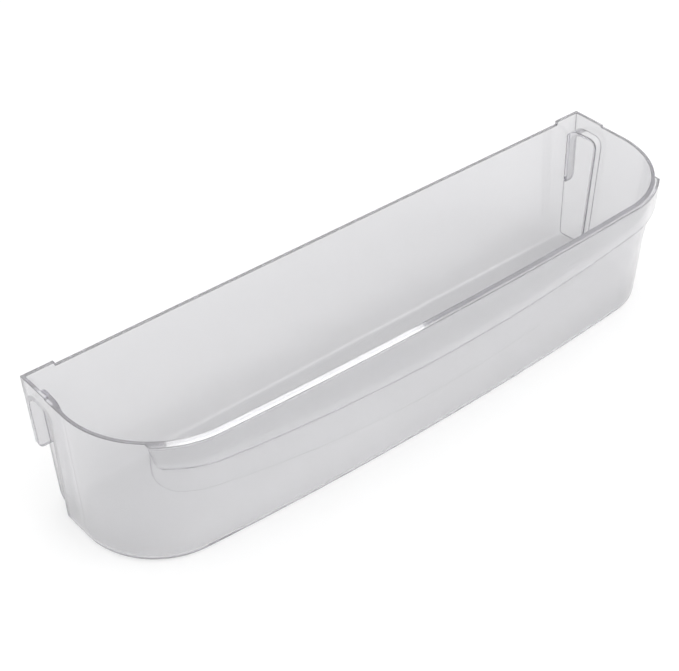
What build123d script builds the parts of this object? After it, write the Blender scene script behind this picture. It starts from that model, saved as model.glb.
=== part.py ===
from build123d import *
import os

# Fridge door shelf: a one-piece clear moulding that hangs on two lugs of a door liner.
# Millimetres. X runs along the shelf, the front faces -Y, and the base rests on Z = 0.

# Tray, measured over its outer faces
rim_length = 464.0
base_length = 456.0
rim_depth = 113.5
base_depth = 101.5
back_lean = 6.0             # the foot of the back wall stands this far ahead of its top
rim_height = 97.0
wall = 2.2
floor_thickness = 2.4
rim_corner_radius = 65.0
base_corner_radius = 53.0
rim_bow = 7.2               # the middle of the front stands this far ahead of its ends
base_bow = 10.6
base_edge_radius = 5.0

# Rear corners: raised pads on the end walls run into raised tabs on the back wall
corner_rise = 1.2           # pads and tabs above the rim
end_pad_length = 26.0
corner_tab_length = 22.0
back_dip = 1.3              # the back edge between the tabs lies this far under the rim

# Apron: a lip turned out and down along the front, with an arched lower edge
lip_reach = 3.3
lip_thickness = 2.2
apron_thickness = 1.8
apron_length = 420.0
apron_end_lean = 3.0        # each end of the apron slopes in by this much
apron_drop_end = 16.0
apron_drop_middle = 30.0
apron_corner_radius = 4.0

# Front panel: a shallow step in the front wall, under and below the apron
panel_step = 0.5
panel_length = 417.0
panel_end_lean = 1.0
panel_drop_end = 36.0
panel_drop_middle = 62.0
panel_corner_radius = 20.0

# Hook channels: open downwards and outwards, one at the rear of each end
channel_drop = 10.5         # top of the channel under the rim
channel_front = 26.5        # side that the lug slides along, from the rear face at the rim
channel_depth_front = 6.2   # recess wall behind the outer face of the end wall
channel_depth_rear = 8.2
channel_rear_radius = 9.0
channel_front_radius = 5.0
flap_thickness = 3.4
flap_drop = 51.5            # the flap closes the back of the channel down to here
flap_corner_radius = 4.0

# Worked out from the sizes above
top_height = rim_height + corner_rise
overall_depth = rim_depth + lip_reach
rear = overall_depth / 2
beyond = 2 * overall_depth  # reach of cutting tools past the tray


def skin_outline(height, inset):
    """Plan of the tray's outer skin at a height, drawn in by an inset on every side."""
    share = height / top_height
    half_length = (base_length + share * (rim_length - base_length)) / 2 - inset
    back = back_skin(height) - inset
    front = back_skin(height) - base_depth - share * (rim_depth - base_depth) + inset
    bow = base_bow + share * (rim_bow - base_bow)
    corner_radius = base_corner_radius + share * (rim_corner_radius - base_corner_radius) - inset
    with BuildSketch() as outline:
        with BuildLine():
            sides = Polyline(
                (half_length, front + bow), (half_length, back), (-half_length, back), (-half_length, front + bow)
            )
            ThreePointArc(sides @ 1, (0, front), sides @ 0)
        make_face()
        fillet(outline.vertices().group_by(Axis.Y)[0], corner_radius)
    return outline.sketch_local


def hanging_field(length, end_lean, drop_end, drop_middle, corner_radius):
    """Front view of a field that hangs from the rim, with an arched lower edge."""
    with BuildSketch() as field:
        with BuildLine():
            sides = Polyline(
                (length / 2 - end_lean, rim_height - drop_end),
                (length / 2, rim_height),
                (-length / 2, rim_height),
                (end_lean - length / 2, rim_height - drop_end),
            )
            ThreePointArc(sides @ 1, (0, rim_height - drop_middle), sides @ 0)
        make_face()
        fillet(field.vertices().filter_by_position(Axis.Y, 0, rim_height - drop_end), corner_radius)
    return field.sketch_local


def back_skin(height):
    """Outer face of the back wall at a height."""
    return rear - back_lean * (1 - height / top_height)


def recess_plan(height, grow):
    """Plan of a channel at a height: the recess wall on one side, open past the end and the back."""
    half_length = (base_length + height / top_height * (rim_length - base_length)) / 2
    front = rear - channel_front - grow
    with BuildSketch() as plan:
        with BuildLine():
            Polyline(
                (half_length - channel_depth_front - grow, front),
                (half_length - channel_depth_rear - grow, rear),
                (half_length - channel_depth_rear - grow, beyond),
                (rim_length, beyond),
                (rim_length, front),
                close=True,
            )
        make_face()
    return plan.sketch_local


def channel_space(grow, flap):
    """Room for a lug at the right end, grown at its front, top and inner sides, ahead of a flap."""
    front = rear - channel_front - grow
    top = rim_height - channel_drop + grow
    flap_foot = rim_height - flap_drop
    with BuildPart() as space:
        with BuildSketch():
            add(recess_plan(0, grow))
        with BuildSketch(Plane.XY.offset(top_height)):
            add(recess_plan(top_height, grow))
        loft()
        with BuildSketch(Plane.YZ) as side_view:
            with BuildLine():
                Polyline(
                    (front, 0),
                    (front, top),
                    (back_skin(top) - flap, top),
                    (back_skin(flap_foot) - flap, flap_foot),
                    (beyond, flap_foot),
                    (beyond, 0),
                    close=True,
                )
            make_face()
            fillet(side_view.vertices().group_by(Axis.Y)[-1].sort_by(Axis.X)[0], channel_front_radius + grow)
            fillet(side_view.vertices().group_by(Axis.Y)[-1].sort_by(Axis.X)[-1], channel_rear_radius + grow)
        extrude(amount=rim_length, mode=Mode.INTERSECT)
    return space.part


with BuildPart() as apron:
    with BuildSketch(Plane.XY.offset(rim_height)):
        add(skin_outline(rim_height, -lip_reach))
    extrude(amount=-apron_drop_middle)
    with BuildSketch(Plane.XY.offset(rim_height - lip_thickness)):
        add(skin_outline(rim_height, apron_thickness - lip_reach))
    extrude(amount=-apron_drop_middle, mode=Mode.SUBTRACT)
    with BuildSketch(Plane.XZ):
        add(hanging_field(apron_length, apron_end_lean, apron_drop_end, apron_drop_middle, apron_corner_radius))
    extrude(amount=overall_depth, mode=Mode.INTERSECT)

with BuildPart() as panel:
    with BuildSketch():
        add(skin_outline(0, -panel_step))
    with BuildSketch(Plane.XY.offset(top_height)):
        add(skin_outline(top_height, -panel_step))
    loft()
    with BuildSketch(Plane.XZ):
        add(hanging_field(panel_length, panel_end_lean, panel_drop_end, panel_drop_middle, panel_corner_radius))
    extrude(amount=overall_depth, mode=Mode.INTERSECT)

with BuildPart() as cavity:
    with BuildSketch(Plane.XY.offset(floor_thickness)):
        add(skin_outline(floor_thickness, wall))
    with BuildSketch(Plane.XY.offset(top_height)):
        add(skin_outline(top_height, wall))
    loft()
    fillet(cavity.faces().sort_by(Axis.Z)[0].edges(), base_edge_radius - wall)
    channel_walls = channel_space(wall, 0)
    add(channel_walls, mode=Mode.SUBTRACT)
    add(mirror(channel_walls, about=Plane.YZ, mode=Mode.PRIVATE), mode=Mode.SUBTRACT)

with BuildPart() as door_shelf:
    with BuildSketch():
        add(skin_outline(0, 0))
    with BuildSketch(Plane.XY.offset(top_height)):
        add(skin_outline(top_height, 0))
    loft()
    fillet(door_shelf.faces().sort_by(Axis.Z)[0].edges(), base_edge_radius)
    add(panel.part)
    add(apron.part)
    add(cavity.part, mode=Mode.SUBTRACT)
    lug_room = channel_space(0, flap_thickness)
    add(lug_room, mode=Mode.SUBTRACT)
    add(mirror(lug_room, about=Plane.YZ, mode=Mode.PRIVATE), mode=Mode.SUBTRACT)
    flap_ends = door_shelf.edges().filter_by_position(Axis.Z, rim_height - flap_drop, rim_height - flap_drop)
    fillet(flap_ends.sort_by(Axis.X)[0], flap_corner_radius)
    flap_ends = door_shelf.edges().filter_by_position(Axis.Z, rim_height - flap_drop, rim_height - flap_drop)
    fillet(flap_ends.sort_by(Axis.X)[-1], flap_corner_radius)
    # Trim the top: all but the corner pads and tabs comes down to the rim, and the back edge below it
    with BuildSketch(Plane.XY.offset(rim_height)):
        Rectangle(2 * rim_length, 2 * overall_depth)
        with Locations((0, rear)):
            Rectangle(2 * rim_length, 2 * end_pad_length, mode=Mode.SUBTRACT)
    extrude(amount=corner_rise, mode=Mode.SUBTRACT)
    with BuildSketch(Plane.XY.offset(rim_height - back_dip)):
        with Locations((0, rear)):
            Rectangle(rim_length - 2 * corner_tab_length, 2 * end_pad_length)
    extrude(amount=back_dip + corner_rise, mode=Mode.SUBTRACT)

door_shelf.part.label = "door_shelf"
os.makedirs("parts", exist_ok=True)
export_step(door_shelf.part, "parts/door_shelf.step")
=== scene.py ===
# %% [markdown]
# # A clear fridge door shelf
# The shelf is one clear moulding that hangs inside a fridge door and holds bottles and jars.
# Its true shape is already there as a solid, so this lesson is about light and clear plastic:
# how to frame it, how to give plastic that one can see through its edges, scuffs and gloss,
# and how to light it on a white table.

# %% Load the shelf
import math

import bpy
from mathutils import Matrix, Vector


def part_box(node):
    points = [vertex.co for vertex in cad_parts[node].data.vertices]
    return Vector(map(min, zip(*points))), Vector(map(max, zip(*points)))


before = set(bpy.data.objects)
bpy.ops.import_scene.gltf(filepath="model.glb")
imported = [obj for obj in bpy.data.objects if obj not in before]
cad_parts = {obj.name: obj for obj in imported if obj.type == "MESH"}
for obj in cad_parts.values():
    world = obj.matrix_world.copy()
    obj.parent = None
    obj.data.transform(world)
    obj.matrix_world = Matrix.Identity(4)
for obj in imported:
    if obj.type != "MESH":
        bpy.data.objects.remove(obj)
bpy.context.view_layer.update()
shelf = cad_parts["door_shelf"]
low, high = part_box("door_shelf")
print("shelf", [round(1000 * side, 1) for side in high - low], "mm,", len(shelf.data.polygons), "faces")

# %% [markdown]
# ## The camera
# A catalogue picture of a long tray is taken from above one front corner with a long lens, so that the
# far end doesn't shrink much. One could turn the camera by hand until the lines agree. Here the direction is
# written as two angles, because the three axes of a camera follow from them: right, down and ahead.

# %% Camera
PICTURE_WIDTH = 679            # pixels of the finished picture
LENS_PIXELS = 1588.91          # focal length in those pixels
SENSOR = 36.0                  # millimetres
TURN = 0.7018                  # radians, from straight at the back wall towards the right end
DIP = 0.6675                   # radians, looking down
CAMERA_PLACE = Vector((-0.5448, -0.5957, 0.6807))

ahead = Vector((math.cos(DIP) * math.sin(TURN), math.cos(DIP) * math.cos(TURN), -math.sin(DIP)))
right = Vector((math.cos(TURN), -math.sin(TURN), 0.0))
down = ahead.cross(right)
axes = Matrix((right, -down, -ahead)).transposed()

lens = bpy.data.cameras.new("catalogue_camera")
lens.sensor_fit = "HORIZONTAL"
lens.sensor_width = SENSOR
lens.lens = SENSOR * LENS_PIXELS / PICTURE_WIDTH
camera = bpy.data.objects.new("catalogue_camera", lens)
camera.matrix_world = Matrix.Translation(CAMERA_PLACE) @ axes.to_4x4()
bpy.context.scene.collection.objects.link(camera)
bpy.context.scene.camera = camera
print("lens", round(lens.lens, 1), "mm, from", [round(c, 3) for c in CAMERA_PLACE])

# %% [markdown]
# ## Shader maths as plain expressions
# A material that varies is arithmetic on numbers that change over the surface. Adding every Math node by hand
# hides that arithmetic, so a small class holds a socket and makes the nodes when Python adds or multiplies.

# %% Expressions that make nodes
class Value:
    """A number that changes over the surface; arithmetic on it adds Math nodes."""

    def __init__(self, tree, socket):
        self.tree = tree
        self.socket = socket

    def _math(self, operation, first, second):
        return self.tree.node("ShaderNodeMath", {"operation": operation}, {0: first, 1: second})["Value"]

    def __add__(self, other):
        return self._math("ADD", self, other)

    def __sub__(self, other):
        return self._math("SUBTRACT", self, other)

    def __mul__(self, other):
        return self._math("MULTIPLY", self, other)

    def __rsub__(self, other):
        return self._math("SUBTRACT", other, self)

    __radd__ = __add__
    __rmul__ = __mul__


class Outputs:
    """Gives a node's outputs by name or number, ready for arithmetic."""

    def __init__(self, tree, node):
        self.tree = tree
        self.node = node

    def __getitem__(self, name):
        return Value(self.tree, self.node.outputs[name])


class Tree:
    """A material's or a world's nodes."""

    def __init__(self, owner):
        owner.use_nodes = True
        self.nodes = owner.node_tree.nodes
        self.links = owner.node_tree.links
        self.nodes.clear()

    def node(self, kind, settings=None, inputs=None):
        """A new node: its settings first, then a value or a link for each socket that is named."""
        made = self.nodes.new(kind)
        for name, setting in (settings or {}).items():
            setattr(made, name, setting)
        for name, given in (inputs or {}).items():
            if isinstance(given, Value):
                self.links.new(given.socket, made.inputs[name])
            else:
                made.inputs[name].default_value = given
        return Outputs(self, made)

    def ramp(self, value, start, end):
        """0 below the start, 1 above the end, smooth between them."""
        settings = {"interpolation_type": "SMOOTHSTEP"}
        inputs = {"Value": value, "From Min": start, "From Max": end}
        return self.node("ShaderNodeMapRange", settings, inputs)["Result"]


print("expression classes ready")

# %% [markdown]
# ## Wear on the plastic
# A shelf in use is scuffed where bottles stand and slide, and stays polished higher up. One could paint
# such marks as a picture, but a picture shows its pixels up close. Here three patterns are worked out from
# the place on the shelf: clouds of fine scuffs, hairlines along the floor, and a very low waviness that the
# melt leaves as it flows.

# %% Patterns of the finish
FLOOR_BAND = (0.003, 0.050)    # heights in metres between which the wear of the floor fades out
SCUFFS_HIGH_UP = 0.25          # share of the scuffs that is left above that band
SCUFFS_BETWEEN_DUST = 0.55     # share of the scuffs between the specks of fine dust

plastic = bpy.data.materials.new("clear_plastic")
plastic_tree = Tree(plastic)
spot = plastic_tree.node("ShaderNodeTexCoord")["Object"]


def noise(scale, detail, stretch=(1.0, 1.0, 1.0), shift=(0.0, 0.0, 0.0), roughness=0.6):
    """Smooth random clouds; a scale of 100 makes them about a centimetre across."""
    moves = {"Vector": spot, "Scale": stretch, "Location": shift}
    moved = plastic_tree.node("ShaderNodeMapping", None, moves)["Vector"]
    inputs = {"Vector": moved, "Scale": scale, "Detail": detail, "Roughness": roughness}
    return plastic_tree.node("ShaderNodeTexNoise", None, inputs)["Fac"]


height = plastic_tree.node("ShaderNodeSeparateXYZ", None, {"Vector": spot})["Z"]
near_floor = 1 - plastic_tree.ramp(height, *FLOOR_BAND)
clouds = plastic_tree.ramp(noise(scale=22.0, detail=6.0), start=0.46, end=0.74)
fine_dust = plastic_tree.ramp(noise(scale=240.0, detail=3.0), start=0.52, end=0.80)
worn_places = SCUFFS_HIGH_UP + (1 - SCUFFS_HIGH_UP) * near_floor
dusty_places = SCUFFS_BETWEEN_DUST + (1 - SCUFFS_BETWEEN_DUST) * fine_dust
scuffs = clouds * worn_places * dusty_places
streaks = noise(scale=60.0, detail=4.0, stretch=(0.5, 14.0, 14.0))
hairlines = plastic_tree.ramp(streaks, start=0.60, end=0.72) * near_floor
flow = noise(scale=9.0, detail=2.0, stretch=(0.5, 1.0, 1.6), shift=(3.1, 1.7, 0.4))
print("patterns: scuff clouds, hairlines and flow")

# %% [markdown]
# ## Edges with painted shade
# A moulded rim is a little round, and in clear plastic a round edge turns light aside and shows as a thin
# grey line. One could round the mesh, but the solid stays as it was designed. A Bevel node gives the normal
# that a round edge would have. Where that normal leaves the flat one there is an edge, and this is the mask
# for painted shade: a thin dark line put into the plastic's colour where a round edge would turn light aside.

# %% Soft edges
EDGE_RADIUS = 0.0010           # metres
EDGE_SAMPLES = 6
EDGE_STARTS = 0.99             # likeness of the two normals where the grey begins
EDGE_IS_FULL = 0.82            # and where it is full

rounding = plastic_tree.node("ShaderNodeBevel", {"samples": EDGE_SAMPLES}, {"Radius": EDGE_RADIUS})
soft_normal = rounding["Normal"]
flat_normal = plastic_tree.node("ShaderNodeNewGeometry")["Normal"]
both_normals = {0: soft_normal, 1: flat_normal}
likeness = plastic_tree.node("ShaderNodeVectorMath", {"operation": "DOT_PRODUCT"}, both_normals)["Value"]
edges = 1 - plastic_tree.ramp(likeness, start=EDGE_IS_FULL, end=EDGE_STARTS)
print("edges rounded by shading,", 1000 * EDGE_RADIUS, "mm")

# %% [markdown]
# ## Clear plastic
# Door shelves like this are moulded from clear polystyrene, which bends light more than window glass does.
# One could fake it with an alpha value, but then the edges don't gather light. Here the shader lets most
# light through and bends it. The rest makes the plastic a little milky, as a used shelf is, and a faint tint
# inside darkens walls that lie behind each other. A thin coat keeps crisp gloss on the polished walls and
# fades out on the worn floor.

# %% Colours of the plastic, with painted shade on its edges
CLEAR_GREY = (0.878, 0.878, 0.887, 1.0)
SCUFF_GREY = (0.910, 0.910, 0.910, 1.0)
# The edge colour below is painted shade: a near-black line along every edge, standing in for light that a
# round edge turns aside
PAINTED_EDGE_SHADE = (0.060, 0.055, 0.075, 1.0)
SCUFF_SHARE = 0.7
EDGE_SHADE_SHARE = 0.95
# A Mix node has sockets for numbers, vectors and colours; these are the numbers of its colour sockets
FIRST_COLOUR, SECOND_COLOUR, MIXED_COLOUR = 6, 7, 2


def mix_colours(factor, first, second):
    """One colour turning into another."""
    inputs = {"Factor": factor, FIRST_COLOUR: first, SECOND_COLOUR: second}
    return plastic_tree.node("ShaderNodeMix", {"data_type": "RGBA"}, inputs)[MIXED_COLOUR]


scuffed = mix_colours(scuffs * SCUFF_SHARE, CLEAR_GREY, SCUFF_GREY)
# Painted shade: the edges darken the colour itself, on top of the real scuffs
scuffs_and_edge_shade = mix_colours(edges * EDGE_SHADE_SHARE, scuffed, PAINTED_EDGE_SHADE)
print("colours: clear grey, scuffs and edges")

# %% Clear plastic shader
POLISHED = 0.08                # roughness as the shelf leaves the mould
FLOOR_WEAR = 0.11              # roughness added near the floor, in the scuffs and in the hairlines
SCUFF_WEAR = 0.05
HAIRLINE_WEAR = 0.02
COAT_ON_WALLS = 0.5
COAT_WORN_OFF = 0.45
HAIRLINE_HEIGHT = 0.04         # beside the waviness of the flow

relief = plastic_tree.node(
    "ShaderNodeBump",
    None,
    {
        "Strength": 0.20,
        "Distance": 0.0006,
        "Height": flow + hairlines * HAIRLINE_HEIGHT,
        "Normal": soft_normal,
    },
)["Normal"]
skin = plastic_tree.node(
    "ShaderNodeBsdfPrincipled",
    None,
    {
        "Base Color": scuffs_and_edge_shade,
        "Roughness": POLISHED + FLOOR_WEAR * near_floor + SCUFF_WEAR * scuffs + HAIRLINE_WEAR * hairlines,
        "IOR": 1.585,
        "Transmission Weight": 0.82,
        "Coat Weight": COAT_ON_WALLS - COAT_WORN_OFF * near_floor,
        "Coat Roughness": 0.03,
        "Normal": relief,
    },
)["BSDF"]
inner_tint = {"Color": (0.74, 0.71, 0.80, 1.0), "Density": 30.0}
inside = plastic_tree.node("ShaderNodeVolumeAbsorption", None, inner_tint)["Volume"]
plastic_tree.node("ShaderNodeOutputMaterial", None, {"Surface": skin, "Volume": inside})
shelf.data.materials.clear()
shelf.data.materials.append(plastic)
print("clear plastic on", shelf.name, "with", len(plastic_tree.nodes), "nodes")

# %% [markdown]
# ## The white table
# A catalogue shelf stands on white. On a sheet of white paper the floor under a clear shelf goes grey,
# because the walls keep light from it. One could add lamps, but they would bleach the plastic. Here the table
# is a light table: half of its white is its own glow, and the other half is light that falls on it and keeps
# the soft shadow.

# %% Light table
TABLE_HALF = 6.0               # metres from the middle to a side
TABLE_GAP = 0.0002             # so that the table and the base don't lie in one plane
TABLE_CORNERS = ((-1, -1), (1, -1), (1, 1), (-1, 1))
WHITE = (1.0, 1.0, 1.0, 1.0)

table_mesh = bpy.data.meshes.new("table_top")
corners = [(TABLE_HALF * x, TABLE_HALF * y, low.z - TABLE_GAP) for x, y in TABLE_CORNERS]
table_mesh.from_pydata(corners, [], [(0, 1, 2, 3)])
table = bpy.data.objects.new("table_top", table_mesh)
bpy.context.scene.collection.objects.link(table)

paper = bpy.data.materials.new("white_paper")
paper_tree = Tree(paper)
grain = paper_tree.node("ShaderNodeTexNoise", None, {"Scale": 400.0, "Detail": 2.0})["Fac"]
sheet = paper_tree.node(
    "ShaderNodeBsdfPrincipled",
    None,
    {
        "Base Color": (0.52, 0.52, 0.52, 1.0),
        "Roughness": 0.85 + 0.1 * grain,
        "Emission Color": WHITE,
        "Emission Strength": 0.50,
    },
)["BSDF"]
paper_tree.node("ShaderNodeOutputMaterial", None, {"Surface": sheet})
table_mesh.materials.append(paper)
print("light table", 2 * TABLE_HALF, "m wide")

# %% [markdown]
# ## White surroundings
# Clear plastic shows what is around it, so the room around the table is white too. One could build a curved
# white wall. The world does the same with less: rays from the camera, and those that the plastic reflects or
# lets through, find plain white, and all others find a slightly weaker fill that lights the shelf from every
# side.

# %% White studio
FILL_STRENGTH = 0.93
SEEN_STRENGTH = 1.0

studio = bpy.data.worlds.new("white_studio")
bpy.context.scene.world = studio
studio_tree = Tree(studio)
path = studio_tree.node("ShaderNodeLightPath")
seen = path["Is Camera Ray"] + path["Is Glossy Ray"] + path["Is Transmission Ray"]
fill, white = (
    studio_tree.node("ShaderNodeBackground", None, {"Color": WHITE, "Strength": strength})["Background"]
    for strength in (FILL_STRENGTH, SEEN_STRENGTH)
)
choice = {0: studio_tree.ramp(seen, start=0.0, end=1.0), 1: fill, 2: white}
room = studio_tree.node("ShaderNodeMixShader", None, choice)["Shader"]
studio_tree.node("ShaderNodeOutputWorld", None, {"Surface": room})
print("white studio: fill", FILL_STRENGTH, "and white", SEEN_STRENGTH)

# %% [markdown]
# ## Soft boxes
# Clear things are drawn by what they reflect. One could use a single lamp, but it would leave one hard spot.
# A wide box above gives the soft shadow, a small strip behind the right end draws the bright line along the
# lip, and a long strip ahead of the front brings out the apron and the panel below it.

# %% Lamps
MIDDLE = (0.0, 0.0, 0.05)
BEYOND_LIP = (0.52, -0.055, 0.10)    # in line with the lip, past its right end


def soft_box(name, place, aim, width, length, watts):
    """A flat lamp that faces a point."""
    lamp = bpy.data.lights.new(name, "AREA")
    lamp.shape = "RECTANGLE"
    lamp.size = width
    lamp.size_y = length
    lamp.energy = watts
    box = bpy.data.objects.new(name, lamp)
    box.location = place
    box.rotation_euler = (Vector(aim) - Vector(place)).to_track_quat("-Z", "Y").to_euler()
    bpy.context.scene.collection.objects.link(box)


soft_box("top_box", place=(-0.3, -0.2, 1.7), aim=MIDDLE, width=1.4, length=1.4, watts=4.0)
soft_box("back_strip", place=(0.52, 0.742, 0.95), aim=BEYOND_LIP, width=0.45, length=0.05, watts=0.45)
soft_box("front_strip", place=(0.45, -0.95, 0.75), aim=MIDDLE, width=1.2, length=0.15, watts=3.6)
print("lamps:", [lamp.name for lamp in bpy.data.lights])

# %% [markdown]
# ## The finished picture
# Light that enters a thin clear wall bounces inside it many times before it leaves. With few bounces those
# paths end early and the rims go black, so the limits are raised. One could brighten the rims instead, but
# then they would shine in any light. The Standard view shows colours as they are written.

BOUNCES = 32

bpy.context.scene.view_settings.view_transform = "Standard"
for kind in ("max_bounces", "glossy_bounces", "transmission_bounces"):
    setattr(bpy.context.scene.cycles, kind, BOUNCES)
